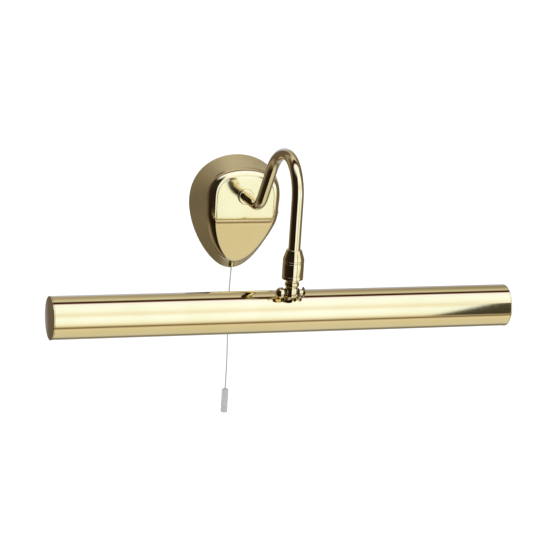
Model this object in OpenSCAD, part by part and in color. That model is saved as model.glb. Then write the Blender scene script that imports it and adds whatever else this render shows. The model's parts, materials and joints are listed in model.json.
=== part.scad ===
/* [Shade] */
// Length of the shade over its two end caps
shade_len = 400; // [340:10:480]
// Outside diameter of the shade tube
shade_d = 36; // [36:0.5:38]
// Wall thickness of the shade tube
shade_wall = 0.8; // [0.6:0.1:1]
// Width of the light opening, as an angle about the shade's axis
opening_angle = 120; // [90:5:140]
// Turn of the shade towards the wall from straight down, at rest
rest_tilt = 33; // [20:1:45]

/* [Arm] */
// Outside diameter of the arm tube
arm_d = 10; // [9.6:0.1:10.4]
// Bore of the arm tube
arm_bore_d = 8; // [7:0.5:8.2]
// Distance from the wall to the arm's hanging leg
arm_reach = 168.5; // [160:0.5:180]
// Height of the arm's centreline where it leaves the wall box
arm_root_z = 19.5; // [19:0.5:22]
// Height of the arm's centreline at the top of the arch
arm_top_z = 79; // [76:1:90]
// Slope of the arm's straight rising stretch
rise_angle = 55.5; // [54:0.5:60]
// Bend radius where the arm turns up
root_bend_r = 24; // [20:1:26]
// Bend radius of the rear half of the arch
rear_arch_r = 48.5; // [44:0.5:50]
// Bend radius of the front half of the arch
front_arch_r = 30.6; // [28:0.2:32]

/* [Wall box] */
// Depth of the wall box from the wall to its face
box_depth = 32; // [31:0.5:34]
// Slope of the lower part of the face back towards the wall
face_slope = 25; // [20:1:27]
// Thickness of the wall box's metal
box_wall = 1.2; // [1:0.1:1.5]
// Radius of the edge at the two sides of the face
box_edge_r = 5; // [4:0.5:5.5]
// Distance between the two wall screws
wall_screw_pitch = 50; // [46:1:52]
// Diameter of the two wall screw holes
wall_screw_d = 4.6; // [4:0.1:5]
// Diameter of the hole for the cable from the wall
cable_hole_d = 10; // [8:0.5:10]

/* [Swivel and tilt] */
// Outside diameter of the swivel barrel
barrel_d = 17.8; // [17.4:0.1:18.4]
// Distance from the tilt axis to the shade's axis
pin_to_shade = 24; // [24:0.5:26]
// Diameter of the two tilt screws
tilt_screw_d = 4; // [3.6:0.1:4.2]
// Radial play of each turning fit
fit_gap = 0.05; // [0.02:0.01:0.08]

/* [Pull switch] */
// Diameter of the pull cord
cord_d = 1.2; // [1:0.1:1.4]
// Travel of the pull switch
switch_travel = 4; // [3:0.5:4.5]

/* [Lamps] */
// Diameter of each lamp's glass
lamp_d = 22; // [20:0.5:23]
// Length of each lamp's glass
lamp_len = 85; // [70:1:95]

/* [Hidden] */
$fn = 64;
BRASS = "#cdb56a";
STEEL = "#b9bcc0";
MOULDING = "#ece7da";
INSULATION = "#7a5a44";

// Arm: u is the distance from the wall and z is the height
arm_r = arm_d / 2;
arm_bore_r = arm_bore_d / 2;
arch_u = arm_reach - front_arch_r;
bend_z = arm_root_z + root_bend_r;
rear_arch_z = arm_top_z - rear_arch_r;
front_arch_z = arm_top_z - front_arch_r;
arch_drop = rear_arch_z - bend_z;
bend_u = arch_u - (root_bend_r + rear_arch_r + arch_drop * cos(rise_angle)) / sin(rise_angle);
arm_tail_u = 25;
arm_foot_z = -1.5;
arm_sides = 24;
bend_steps = 8;
arch_steps = 12;

// Wall box outline: half widths, centre height and reach up and down, at the wall and at the face
outline_steps = 72;
wall_outline = [41.3, 10.5, -1.25, 52.25, 52.25, 1, 1];
face_outline = [31, 3, 3.5, 38.5, 49, 0.38, 1.2];
edge_steps = 4;
edge_growth = 0.25;
face_heart = [0, 5];
face_steps = 4;
bend_high_z = 0;
bend_low_z = -8;

// Wall bracket
plate_t = 1.6;
bar_r = 8;
strap_w = 22;
strap_top = 42;
strap_bottom = -44;
lug_x = 31;
cover_screw_y = -9;
cover_screw_r = 2;
cover_screw_end = 38.6;
earth_x = 7;
earth_z = 16;

// Terminal block
pole_pitch = 8;
block_top = -5.2;
block_h = 14;
block_front = 13;
pole_y = -7;
sleeve_r = 2.2;
sleeve_bore_r = 1.3;
lead_r = 0.9;

// Pull switch
cord_x = -1.5;
cord_y = -6;
switch_w = 14;
switch_bottom = -41;
switch_h = 18;
switch_front = 10.5;
cavity_r = 3.05;
slider_bottom = -36;
slider_h = 4;
cavity_bottom = slider_bottom - switch_travel - 0.3;
cord_hole_r = 0.95;
pull_top = -167;
pull_len = 22.5;
pull_r = 3;

// Swivel, on the arm's leg
barrel_r = barrel_d / 2;
barrel_top = 6.6;
barrel_joint = -3.7;
barrel_bottom = -18.7;
socket_bore_r = 7;
socket_floor = -16.2;
stem_r = 4;
stem_top = -9.5;
neck_r = 4.75;
bead_z = -22.9;
bead_round_r = 2.6;
bead_r = 6.1;
post_top = -25.9;
groove = 0.3;
flex_r = 1.6;
flex_bore_r = 2.2;

// Tilt joint
pin_z = -30;
pin_r = tilt_screw_d / 2;
eye_r = 5.6;
eye_half = 5.7;
ear_inner = 6.3;
ear_outer = [7.8, 10.4];
ear_r = 5.2;
tilt_head_r = 4.4;
tilt_head_end = [13.6, 12];

// Shade, drawn about its own axis with the tilt axis straight above it
shade_r = shade_d / 2;
shade_bore_r = shade_r - shade_wall;
shade_half = shade_len / 2;
cap_t = 1.2;
saddle_rim_z = 22;
saddle_screw_x = 8.35;
saddle_screw_r = 1.5;
bracket_z = 14;
bracket_half = 13.5;
bracket_t = 1.5;
lamp_z = 1.2;
holder_r = 12.3;
holder_start = bracket_half;
holder_end = 50;
holder_bore_r = 7.4;
boss_r = 5;
lamp_cap_r = 6.9;
lamp_glass_r = lamp_d / 2;
lamp_start = holder_end + 1;

// Route of the pull cord, from the switch's slider to the pull
cord_route = [
    [-1.5, -6, -36], [-1.5, -6, -44], [-1.5, -6, -52], [-1.6, -6, -58], [-1.9, -6, -66],
    [-2.1, -6, -74], [-2.1, -6, -82], [-2, -6, -90], [-1.8, -6, -98], [-1.5, -6, -106],
    [-1.2, -6, -114], [-0.9, -6, -122], [-0.7, -6, -130], [-0.5, -6, -138], [-0.4, -6, -146],
    [-0.4, -6, -154], [-0.4, -6, -161], [-0.4, -6, -167]
];
cord_sides = 8;
cord_substeps = 3;

// ---- Shared shapes ----

// Block between two opposite corners
module block(low, high) {
    translate(low)
        cube(high - low);
}

// Direction of a line of points at one of them
function heading(line, i) =
    let (run = line[min(len(line) - 1, i + 1)] - line[max(0, i - 1)])
        run / norm(run);

// Rings of points of a round section carried along a line, none of which runs along the side direction
function rings(line, r, sides, side) = [
    for (i = [0 : len(line) - 1])
        let (ahead = heading(line, i))
            let (out = cross(ahead, side) / norm(cross(ahead, side)))
                let (over = cross(out, ahead))
                    for (s = [0 : sides - 1])
                        line[i] + r * (out * cos(s * 360 / sides) + over * sin(s * 360 / sides))
];

// Walls between neighbouring rings, whose points start at first
function walls(count, sides, first) = [
    for (i = [0 : count - 2])
        for (s = [0 : sides - 1])
            let (next = (s + 1) % sides)
                let (low = first + i * sides)
                    [low + next, low + s, low + sides + s, low + sides + next]
];

function reversed(face) = [for (i = [len(face) - 1 : -1 : 0]) face[i]];

// Flat ring between an outer and an inner ring of points
function end_ring(outer, inner, sides) = [
    for (s = [0 : sides - 1])
        let (next = (s + 1) % sides)
            [outer + s, outer + next, inner + next, inner + s]
];

// Solid cord swept along a line
module swept(line, r, side = [1, 0, 0]) {
    last = (len(line) - 1) * cord_sides;
    start_face = [for (s = [0 : cord_sides - 1]) s];
    end_face = [for (s = [cord_sides - 1 : -1 : 0]) last + s];
    polyhedron(
        points = rings(line, r, cord_sides, side),
        faces = concat([start_face], walls(len(line), cord_sides, 0), [end_face])
    );
}

// Tube swept along a line
module swept_tube(line, r, bore_r, sides) {
    count = len(line);
    inner = count * sides;
    last = (count - 1) * sides;
    bore_walls = [for (face = walls(count, sides, inner)) reversed(face)];
    foot_ring = [for (face = end_ring(last, inner + last, sides)) reversed(face)];
    polyhedron(
        points = concat(rings(line, r, sides, [1, 0, 0]), rings(line, bore_r, sides, [1, 0, 0])),
        faces = concat(walls(count, sides, 0), bore_walls, end_ring(0, inner, sides), foot_ring)
    );
}

// Smooth line through a list of points
function held(points, i) = points[max(0, min(len(points) - 1, i))];
function between(a, b, c, d, t) =
    let (curve = 2 * a - 5 * b + 4 * c - d, twist = 3 * b - a - 3 * c + d)
        0.5 * (2 * b + (c - a) * t + curve * t * t + twist * t * t * t);
function smooth_point(points, i, t) =
    between(held(points, i - 1), held(points, i), held(points, i + 1), held(points, i + 2), t);
function smooth(points, steps) = [
    for (i = [0 : len(points) - 2])
        for (k = [0 : steps - 1])
            smooth_point(points, i, k / steps),
    held(points, len(points) - 1)
];

// Insulated lead through a few points
module lead(points, r, side = [1, 0, 0]) {
    swept(smooth(points, 3), r, side);
}

// Puts a shape drawn along +z in place along -y, pointing away from the wall
module off_wall(x, z, y = 0) {
    translate([x, y, z])
        rotate([90, 0, 0])
            children();
}

// Puts a shape drawn about the hanging leg's own axis in place
module on_leg() {
    translate([0, -arm_reach, 0])
        children();
}

// Puts a shape drawn about the shade's own axis in place, as it hangs at rest
module at_shade() {
    translate([0, -arm_reach, pin_z])
        rotate([rest_tilt, 0, 0])
            translate([0, 0, -pin_to_shade])
                children();
}

// Turns a shape drawn along +z to lie along +x
module along_x() {
    rotate([0, 90, 0])
        children();
}

// Mirrors a shape made for the right end of the shade to the left end when side is -1
module on_side(side) {
    mirror([side < 0 ? 1 : 0, 0, 0])
        children();
}

// Pan head with a slot, its seat at z = 0
module slotted_head(r, h) {
    difference() {
        cylinder(h = h, r1 = r, r2 = r - 0.4);
        translate([-r - 1, -0.4, h - 0.7])
            cube([2 * r + 2, 0.8, 1]);
    }
}

// ---- Arm ----

// Place on the arm for a distance from the wall and a height
function arm_place(u, z) = [0, -u, z];
function arc_place(u, z, r, a) = arm_place(u + r * cos(a), z + r * sin(a));

// Centreline of the arm, from its tail inside the wall box to its foot in the swivel
function arm_line(tail_u, foot_z) = concat(
    [arm_place(tail_u, arm_root_z)],
    [
        for (k = [0 : bend_steps])
            arc_place(bend_u, bend_z, root_bend_r, -90 + k * rise_angle / bend_steps)
    ],
    [
        for (k = [bend_steps : -1 : 1])
            arc_place(arch_u, rear_arch_z, rear_arch_r, 90 + k * rise_angle / bend_steps)
    ],
    [
        for (k = [arch_steps : -1 : 0])
            arc_place(arch_u, front_arch_z, front_arch_r, k * 90 / arch_steps)
    ],
    [arm_place(arm_reach, foot_z)]
);

module arm_tube() {
    color(BRASS)
        swept_tube(arm_line(arm_tail_u, arm_foot_z), arm_r, arm_bore_r, arm_sides);
}

module arm_flex() {
    color(MOULDING)
        swept(arm_line(arm_tail_u - 2, stem_top), flex_r);
}

module arm_collar() {
    collar_r = 7.1;
    collar_h = 2.4;
    round_r = 1.6;
    round_steps = 6;
    color(BRASS)
        off_wall(0, arm_root_z, -box_depth)
            rotate_extrude()
                polygon(concat(
                    [[arm_r, 0], [collar_r, 0]],
                    [
                        for (k = [0 : round_steps])
                            let (a = k * 90 / round_steps)
                                [
                                    collar_r - round_r + round_r * cos(a),
                                    collar_h - round_r + round_r * sin(a)
                                ]
                    ],
                    [[arm_r, collar_h]]
                ));
}

module arm_washer() {
    washer_t = 0.9;
    color(STEEL)
        off_wall(0, arm_root_z, box_wall - box_depth + washer_t)
            difference() {
                cylinder(h = washer_t, r = 8.6);
                translate([0, 0, -1])
                    cylinder(h = washer_t + 2, r = arm_r);
            }
}

module arm_nut() {
    washer_t = 0.9;
    nut_h = 3;
    color(STEEL)
        off_wall(0, arm_root_z, box_wall - box_depth + washer_t + nut_h)
            difference() {
                cylinder(h = nut_h, r = 8.1, $fn = 6);
                translate([0, 0, -1])
                    cylinder(h = nut_h + 2, r = arm_r);
            }
}

// ---- Wall box ----

// Signed power, which squares or rounds the ends of an outline
function ease(s, q) = sign(s) * pow(abs(s), q);

// One point of a wall box outline drawn in by inset
function outline_point(o, a, inset) = [
    cos(a) * (o[0] - inset + o[1] * sin(a)),
    o[2] + (sin(a) > 0 ? (o[3] - inset) * ease(sin(a), o[5]) : (o[4] - inset) * ease(sin(a), o[6]))
];

// Part of the way from the wall's outline (0) to the face's (1)
function box_outline_point(a, part, inset) =
    outline_point(wall_outline, a, inset) * (1 - part) + outline_point(face_outline, a, inset) * part;

// Distance of the face from the wall at a height: upright at the top, then bent back to a slope
function face_depth(z) =
    let (bend = bend_high_z - bend_low_z, into = max(0, min(bend, bend_high_z - z)))
        box_depth - tan(face_slope) * (into * into / (2 * bend) + max(0, bend_low_z - z));

// One point of the rounded edge, from the side (turn 0) to the face (turn 90)
function edge_point(a, turn, inset) =
    let (r = box_edge_r * (1 + edge_growth * sin(a)), back = r * (1 - sin(turn)))
        let (p = box_outline_point(a, 1 - back / box_depth, inset + r * (1 - cos(turn))))
            [p[0], inset + back - face_depth(p[1]), p[1]];

// One point of the face, part of the way from its rim (0) to its middle (1)
function face_point(a, part, inset) =
    let (rim = edge_point(a, 90, inset))
        let (p = [rim[0], rim[2]] * (1 - part) + face_heart * part)
            [p[0], inset - face_depth(p[1]), p[1]];

function outline_angles() = [for (i = [0 : outline_steps - 1]) (i + 0.5) * 360 / outline_steps];

// Rings of the wall box from its rim at the wall, round the edge and in across the face
function box_rings(inset, back) = concat(
    [
        for (a = outline_angles())
            let (p = outline_point(wall_outline, a, inset))
                [p[0], -back, p[1]]
    ],
    [for (k = [0 : edge_steps]) for (a = outline_angles()) edge_point(a, k * 90 / edge_steps, inset)],
    [for (k = [1 : face_steps - 1]) for (a = outline_angles()) face_point(a, k / face_steps, inset)],
    [[face_heart[0], inset - face_depth(face_heart[1]), face_heart[1]]]
);
box_ring_count = edge_steps + face_steps + 1;

// Fan between the last ring of the face and its middle point
function face_fan(first) =
    let (last = first + (box_ring_count - 1) * outline_steps)
        [
            for (s = [0 : outline_steps - 1])
                [last + (s + 1) % outline_steps, last + s, last + outline_steps]
        ];

function box_faces(first) = concat(walls(box_ring_count, outline_steps, first), face_fan(first));

// Space inside the wall box, from the distance back from the wall
module box_inside(back) {
    polyhedron(
        points = box_rings(box_wall, back),
        faces = concat(box_faces(0), [[for (s = [0 : outline_steps - 1]) s]])
    );
}

// Shell of the wall box, open at the wall
module box_shell() {
    inner = box_ring_count * outline_steps + 1;
    polyhedron(
        points = concat(box_rings(0, 0), box_rings(box_wall, 0)),
        faces = concat(
            box_faces(0),
            [for (face = box_faces(inner)) reversed(face)],
            end_ring(0, inner, outline_steps)
        )
    );
}

module wall_cover() {
    color(BRASS)
        difference() {
            box_shell();
            off_wall(0, arm_root_z, 1 - box_depth + box_wall)
                cylinder(h = box_wall + 2, r = arm_r + 0.1);
            translate([cord_x, cord_y, -56])
                cylinder(h = 12, r = 2.5);
            translate([lug_x, cover_screw_y, 0])
                along_x()
                    cylinder(h = 14, r = cover_screw_r + 0.2);
        }
}

module cover_catch() {
    half = 6;
    color(STEEL)
        difference() {
            intersection() {
                block([-half, -14, 43.2], [half, -3.4, 52]);
                box_inside(-1);
            }
            block([-half - 1, -15, 43], [half + 1, -4.6, 46.5]);
        }
}

// Headless screw through the cover's side into the bracket's lug
module cover_screw() {
    start = lug_x - 2.5;
    color(STEEL)
        translate([start, cover_screw_y, 0])
            along_x()
                difference() {
                    cylinder(h = cover_screw_end - start, r = cover_screw_r);
                    translate([-cover_screw_r - 1, -0.4, cover_screw_end - start - 0.8])
                        cube([2 * cover_screw_r + 2, 0.8, 1]);
                }
}

module bracket_outline() {
    half = wall_screw_pitch / 2;
    difference() {
        union() {
            translate([-half, -bar_r])
                square([2 * half, 2 * bar_r]);
            translate([-half, 0])
                circle(r = bar_r);
            translate([half, 0])
                circle(r = bar_r);
            translate([-strap_w / 2, strap_bottom])
                square([strap_w, strap_top - strap_bottom]);
        }
        circle(d = cable_hole_d);
        translate([-half, 0])
            circle(d = wall_screw_d);
        translate([half, 0])
            circle(d = wall_screw_d);
        translate([earth_x, earth_z])
            circle(r = 1.5);
        for (side = [-1, 1])
            translate([cord_x + side * 4.6, switch_bottom + switch_h - 3])
                circle(r = 1);
    }
}

module wall_bracket() {
    lug_half = 5;
    lug_t = 1.6;
    hook_half = 7;
    color(STEEL)
        difference() {
            union() {
                off_wall(0, 0)
                    linear_extrude(plate_t)
                        bracket_outline();
                block([-hook_half, -7, strap_top - plate_t], [hook_half, -plate_t, strap_top]);
                block([-hook_half, -7, strap_top], [hook_half, -5.5, strap_top + 3.5]);
                block([lug_x - lug_t, -14, -lug_half], [lug_x, -plate_t, lug_half]);
            }
            translate([lug_x - 5, cover_screw_y, 0])
                along_x()
                    cylinder(h = 10, r = cover_screw_r);
        }
}

module earth_screw() {
    color(BRASS) {
        off_wall(earth_x, earth_z, -0.2)
            cylinder(h = plate_t - 0.2, r = 1.5);
        off_wall(earth_x, earth_z, -plate_t)
            slotted_head(3, 1.8);
    }
}

// ---- Terminals and leads ----

// Repeats a shape at each of the three poles
module at_poles() {
    for (pole = [-1, 0, 1])
        translate([pole * pole_pitch, 0, 0])
            children();
}

module pole_screw_places() {
    at_poles()
        for (z = [block_top - 3.5, block_top - block_h + 3.5])
            translate([0, 0, z])
                children();
}

module terminal_block() {
    half_w = 13;
    color(MOULDING)
        difference() {
            block([-half_w, -block_front, block_top - block_h], [half_w, -plate_t, block_top]);
            at_poles()
                translate([0, pole_y, block_top - block_h - 1])
                    cylinder(h = block_h + 2, r = sleeve_r);
            pole_screw_places()
                off_wall(0, 0, pole_y)
                    cylinder(h = block_front, r = 1.6);
            for (side = [-0.5, 0.5])
                translate([side * pole_pitch - 0.5, -block_front - 1, block_top - block_h - 1])
                    cube([1, 4, block_h + 2]);
        }
}

module terminal_sleeves() {
    color(BRASS)
        difference() {
            at_poles()
                translate([0, pole_y, block_top - block_h + 0.6])
                    cylinder(h = block_h - 1.2, r = sleeve_r);
            at_poles()
                translate([0, pole_y, block_top - block_h])
                    cylinder(h = block_h, r = sleeve_bore_r);
            pole_screw_places()
                off_wall(0, 0, pole_y)
                    cylinder(h = 5, r = 1);
        }
}

module terminal_screws() {
    color(STEEL)
        pole_screw_places() {
            off_wall(0, 0, pole_y - lead_r)
                cylinder(h = 2.4 - lead_r, r = 1);
            off_wall(0, 0, pole_y - 2.4)
                slotted_head(1.5, 2.2);
        }
}

module live_lead() {
    color(INSULATION)
        lead([
            [-1, -22.5, arm_root_z], [-3, -20, 15], [-7, -14, 8], [-pole_pitch, -9, 0],
            [-pole_pitch, pole_y, -4], [-pole_pitch, pole_y, -10]
        ], lead_r);
}

module neutral_lead() {
    color("steelblue")
        lead([
            [1, -22.5, arm_root_z], [2, -19, 14], [1, -13, 7], [0, -9, 0],
            [0, pole_y, -4], [0, pole_y, -10]
        ], lead_r);
}

module earth_lead() {
    color("olivedrab")
        lead([
            [pole_pitch, pole_y, -10], [pole_pitch, pole_y, -3], [pole_pitch + 1, -8, 4],
            [pole_pitch + 1, -7, 10], [earth_x + 1, -4.5, earth_z - 2], [earth_x, -4.3, earth_z]
        ], lead_r);
}

module switch_leads() {
    top = switch_bottom + switch_h;
    color(INSULATION)
        for (side = [-1, 0])
            lead([
                [side * pole_pitch, pole_y, -15], [side * pole_pitch, pole_y, -19.5],
                [cord_x + 3 + side * 6, -7.6, top + 0.6], [cord_x + 3 + side * 6, -7.6, top - 0.4],
                [cord_x + 3 + side * 6, -7.6, top - 1.5]
            ], lead_r);
}

// ---- Pull switch ----

module switch_body() {
    top = switch_bottom + switch_h;
    half = switch_w / 2;
    color("#5a4636")
        difference() {
            block([cord_x - half, -switch_front, switch_bottom], [cord_x + half, -plate_t, top]);
            translate([cord_x, cord_y, cavity_bottom])
                cylinder(h = 10.5, r = cavity_r);
            translate([cord_x, cord_y, switch_bottom - 1])
                cylinder(h = 3, r = cord_hole_r);
            for (side = [-1, 1])
                off_wall(cord_x + side * 4.6, top - 3, 0)
                    cylinder(h = switch_front + 1, r = 1);
            for (side = [-1, 0])
                translate([cord_x + 3 + side * 6, -7.6, top - 1.6])
                    cylinder(h = 3, r = lead_r + 0.3);
        }
}

module switch_screws() {
    top = switch_bottom + switch_h;
    color(STEEL)
        for (side = [-1, 1]) {
            off_wall(cord_x + side * 4.6, top - 3, -0.2)
                cylinder(h = switch_front - 0.2, r = 1);
            off_wall(cord_x + side * 4.6, top - 3, -switch_front)
                slotted_head(1.9, 1.3);
        }
}

module switch_slider() {
    color(MOULDING)
        translate([cord_x, cord_y, slider_bottom])
            cylinder(h = slider_h, r = cavity_r - fit_gap);
}

module cord_bush() {
    color(BRASS)
        translate([cord_x, cord_y, 0])
            rotate_extrude()
                polygon([
                    [cord_hole_r, -51.2], [2.1, -51.2], [2.5, -50.8], [2.5, -43.8],
                    [3.2, -43.8], [3.2, -42.6], [cord_hole_r, -42.6]
                ]);
}

module cord_pull() {
    groove_z = [2.2, 3.7, 5.2];
    color(MOULDING)
        translate([cord_route[len(cord_route) - 1][0], cord_y, pull_top - pull_len])
            difference() {
                rotate_extrude()
                    union() {
                        square([pull_r - 1, pull_len]);
                        translate([0, 1])
                            square([pull_r, pull_len - 2]);
                        translate([pull_r - 1, 1])
                            circle(r = 1);
                        translate([pull_r - 1, pull_len - 1])
                            circle(r = 1);
                    }
                for (z = groove_z)
                    translate([0, 0, z])
                        rotate_extrude()
                            translate([pull_r, 0])
                                circle(r = 0.25, $fn = 16);
            }
}

module pull_cord() {
    color(MOULDING)
        swept(smooth(cord_route, cord_substeps), cord_d / 2, [1, 0, 0]);
}

// ---- Swivel ----

module swivel_cap() {
    ledge_r = arm_r - 0.4;
    color(BRASS)
        on_leg()
            rotate_extrude()
                polygon([
                    [arm_r, barrel_top], [6.3, barrel_top], [barrel_r, -1.3],
                    [barrel_r, -2.7 + groove], [barrel_r - groove, -2.7], [barrel_r, -2.7 - groove],
                    [barrel_r, barrel_joint], [socket_bore_r, barrel_joint], [socket_bore_r, -8],
                    [ledge_r, -8], [ledge_r, arm_foot_z], [arm_r, arm_foot_z]
                ]);
}

module swivel_socket() {
    hole_r = stem_r + fit_gap;
    color(BRASS)
        on_leg()
            rotate_extrude()
                polygon([
                    [socket_bore_r, barrel_joint], [barrel_r, barrel_joint],
                    [barrel_r, -4.7 + groove], [barrel_r - groove, -4.7], [barrel_r, -4.7 - groove],
                    [barrel_r, -15.6 + groove], [barrel_r - groove, -15.6], [barrel_r, -15.6 - groove],
                    [barrel_r, barrel_bottom + 0.6], [barrel_r - 0.6, barrel_bottom],
                    [hole_r, barrel_bottom], [hole_r, socket_floor], [socket_bore_r, socket_floor]
                ]);
}

module swivel_stem() {
    neck_top = barrel_bottom - 0.08;
    slot_top = pin_z + 2;
    steps = 12;
    turns = [for (i = [1 : steps - 1]) 90 - i * 180 / steps];
    bead = [
        for (a = turns)
            [bead_r - bead_round_r + bead_round_r * cos(a), bead_z + bead_round_r * sin(a)]
    ];
    tip = [for (i = [0 : steps / 2]) [eye_r * cos(i * 180 / steps), pin_z - eye_r * sin(i * 180 / steps)]];
    color(BRASS)
        on_leg()
            difference() {
                rotate_extrude()
                    polygon(concat(
                        [[0, stem_top], [stem_r, stem_top], [stem_r, neck_top]],
                        [[neck_r, neck_top], [neck_r, -20.6]],
                        [for (p = bead) if (p[0] > neck_r) p],
                        [[neck_r, post_top + 0.4], [neck_r, post_top], [eye_r - 0.4, post_top]],
                        [[eye_r, post_top - 0.4]],
                        tip
                    ));
                translate([0, 0, pin_z])
                    cylinder(h = stem_top - pin_z + 1, r = flex_bore_r);
                block([-flex_bore_r, -8, pin_z - 8], [flex_bore_r, 8, slot_top]);
                translate([-eye_half - 1, 0, pin_z])
                    along_x()
                        cylinder(h = 2 * eye_half + 2, r = pin_r + fit_gap);
            }
}

// Ring about the leg's axis
module leg_ring(bottom, top, inner_r, outer_r) {
    on_leg()
        translate([0, 0, bottom])
            difference() {
                cylinder(h = top - bottom, r = outer_r);
                translate([0, 0, -1])
                    cylinder(h = top - bottom + 2, r = inner_r);
            }
}

module swivel_washer() {
    color(STEEL)
        leg_ring(socket_floor + 0.05, socket_floor + 0.85, stem_r, 6.6);
}

module spring_washer() {
    color(STEEL)
        leg_ring(socket_floor + 0.85, socket_floor + 2, stem_r, 6.2);
}

module swivel_nut() {
    color(BRASS)
        on_leg()
            translate([0, 0, socket_floor + 2])
                difference() {
                    cylinder(h = 3, r = 6.4, $fn = 6);
                    translate([0, 0, -1])
                        cylinder(h = 5, r = stem_r);
                }
}

module neck_flex() {
    gap = 2;
    color(MOULDING)
        on_leg()
            translate([0, 0, pin_z + gap])
                cylinder(h = stem_top - pin_z - gap, r = flex_r);
}

// ---- Saddle and tilt screws ----

// Thin oval at a height
module oval(z, half_w, half_l) {
    translate([0, 0, z])
        linear_extrude(0.1)
            polygon([for (i = [0 : 47]) [half_w * cos(i * 7.5), half_l * sin(i * 7.5)]]);
}

// Distance of an ear's outer face from the middle
function ear_end(side) = ear_outer[side < 0 ? 0 : 1];

// Room for the swivel's post as the shade tilts
module post_room() {
    reach = 16;
    lean = rest_tilt + 42;
    width = 2 * ear_inner;
    hull() {
        translate([-ear_inner, 0, pin_to_shade])
            along_x()
                cylinder(h = width, r = eye_r + 0.2);
        translate([-ear_inner, reach * sin(lean), pin_to_shade + reach * cos(lean)])
            along_x()
                cylinder(h = width, r = eye_r + 0.6);
    }
}

module saddle() {
    color(BRASS)
        at_shade()
            difference() {
                union() {
                    hull() {
                        oval(14, 14.4, 10);
                        for (turn = [0 : 22.5 : 90])
                            oval(
                                saddle_rim_z - 1.9 + 1.8 * sin(turn),
                                10.8 + 1.8 * cos(turn), 6.8 + 1.8 * cos(turn)
                            );
                    }
                    for (side = [-1, 1])
                        on_side(side) {
                            translate([ear_inner, 0, pin_to_shade])
                                along_x()
                                    cylinder(h = ear_end(side) - ear_inner, r = ear_r);
                            block(
                                [ear_inner, -ear_r, shade_r - 2],
                                [ear_end(side), ear_r, pin_to_shade]
                            );
                        }
                }
                translate([-shade_half, 0, 0])
                    along_x()
                        cylinder(h = shade_len, r = shade_r);
                post_room();
                translate([-ear_end(1) - 1, 0, pin_to_shade])
                    along_x()
                        cylinder(h = 2 * ear_end(1) + 2, r = pin_r);
                cylinder(h = pin_to_shade, r = flex_bore_r);
                for (side = [-1, 1]) {
                    translate([side * saddle_screw_x, 0, 0])
                        cylinder(h = shade_r + 1.6, r = saddle_screw_r);
                    on_side(side)
                        translate([ear_end(side), 0, pin_to_shade])
                            along_x()
                                cylinder(h = 9, r = tilt_head_r + 0.2);
                }
            }
}

// Domed head, its seat at z = 0
module domed_head(r, h) {
    ball_r = (r * r + h * h) / (2 * h);
    intersection() {
        cylinder(h = h, r = r);
        translate([0, 0, h - ball_r])
            sphere(r = ball_r);
    }
}

// Shoulder screw through one ear into the post, with a taller head on the left
module tilt_screw(side) {
    tip = flex_bore_r + 0.1;
    color(BRASS)
        at_shade()
            on_side(side)
                translate([0, 0, pin_to_shade]) {
                    translate([tip, 0, 0])
                        along_x()
                            cylinder(h = ear_end(side) - tip, r = pin_r);
                    translate([ear_end(side), 0, 0])
                        along_x()
                            domed_head(tilt_head_r, tilt_head_end[side < 0 ? 0 : 1] - ear_end(side));
                }
}

module friction_washers() {
    play = 0.05;
    color("#3a3733")
        at_shade()
            for (side = [-1, 1])
                on_side(side)
                    translate([eye_half + play, 0, pin_to_shade])
                        along_x()
                            difference() {
                                cylinder(h = ear_inner - eye_half - 2 * play, r = 3.4);
                                translate([0, 0, -1])
                                    cylinder(h = 3, r = pin_r);
                            }
}

module saddle_screws() {
    head_h = 1.8;
    color(STEEL)
        at_shade()
            for (side = [-1, 1])
                translate([side * saddle_screw_x, 0, bracket_z]) {
                    cylinder(h = shade_r + 1.5 - bracket_z, r = saddle_screw_r);
                    mirror([0, 0, 1])
                        slotted_head(2.7, head_h);
                }
}

// ---- Shade ----

module shade_tube() {
    half = shade_half - cap_t;
    edge_y = shade_d * sin(opening_angle / 2);
    edge_z = shade_d * cos(opening_angle / 2);
    color(BRASS)
        at_shade()
            difference() {
                translate([-half, 0, 0])
                    rotate([90, 0, 90])
                        linear_extrude(2 * half)
                            difference() {
                                circle(r = shade_r);
                                circle(r = shade_bore_r);
                                polygon([
                                    [0, 0], [-edge_y, -edge_z], [-edge_y, -shade_d],
                                    [edge_y, -shade_d], [edge_y, -edge_z]
                                ]);
                            }
                cylinder(h = shade_d, r = flex_bore_r);
                for (side = [-1, 1])
                    translate([side * saddle_screw_x, 0, 0])
                        cylinder(h = shade_d, r = saddle_screw_r);
            }
}

// End cap with a spigot that presses into the tube
module end_cap(side) {
    spigot = 5;
    color(BRASS)
        at_shade()
            on_side(side)
                translate([shade_half - cap_t, 0, 0])
                    along_x()
                        rotate_extrude()
                            polygon([
                                [0, 0], [shade_bore_r - 0.8, 0], [shade_bore_r - 0.8, -spigot],
                                [shade_bore_r, -spigot], [shade_bore_r, 0], [shade_r, 0],
                                [shade_r, cap_t - 0.3], [shade_r - 0.3, cap_t], [0, cap_t]
                            ]);
}

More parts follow.
